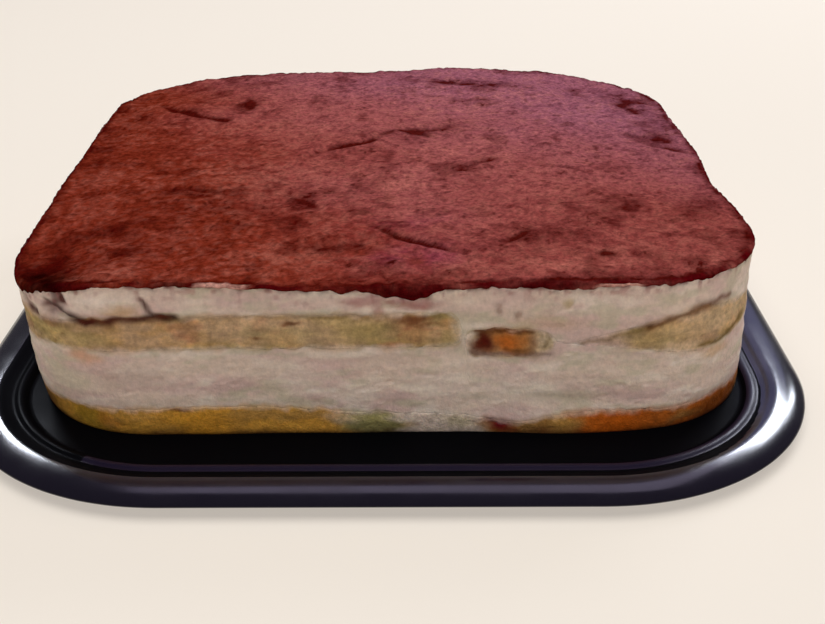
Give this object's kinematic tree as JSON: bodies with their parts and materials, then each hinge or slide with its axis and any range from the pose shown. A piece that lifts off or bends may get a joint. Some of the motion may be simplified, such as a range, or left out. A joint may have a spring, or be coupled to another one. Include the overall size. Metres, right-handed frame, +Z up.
{
  "type": "tiramisu cake on a tray",
  "caption": "Whole square tiramisu with rounded corners, layered sponge and cream under a coat of cocoa, on a glossy black oblong tray.",
  "frame": {"origin": "middle of the tray's underside, on the surface it stands on", "axes": "+Z up, +X to the viewer's right along the tray's shorter side, +Y to the back along its longer side; the shown front faces -Y"},
  "size_m": [0.296, 0.333, 0.0606],
  "materials": {
    "tray": "glossy black",
    "sponge": "baked sponge, golden to orange brown, soaked with coffee, with an open crumb",
    "soaked_sponge": "sponge fingers, yellow tan and moist, with darker coffee spots",
    "cream": "set mascarpone cream, off-white, soft and faintly moist",
    "cocoa": "sifted cocoa powder, reddish brown and matt"
  },
  "bodies": {
    "root": {"tray": "tray", "base_sponge": "sponge", "lower_cream": "cream", "middle_sponge": "soaked_sponge", "upper_cream": "cream", "cocoa": "cocoa"}
  },
  "joints": []
}
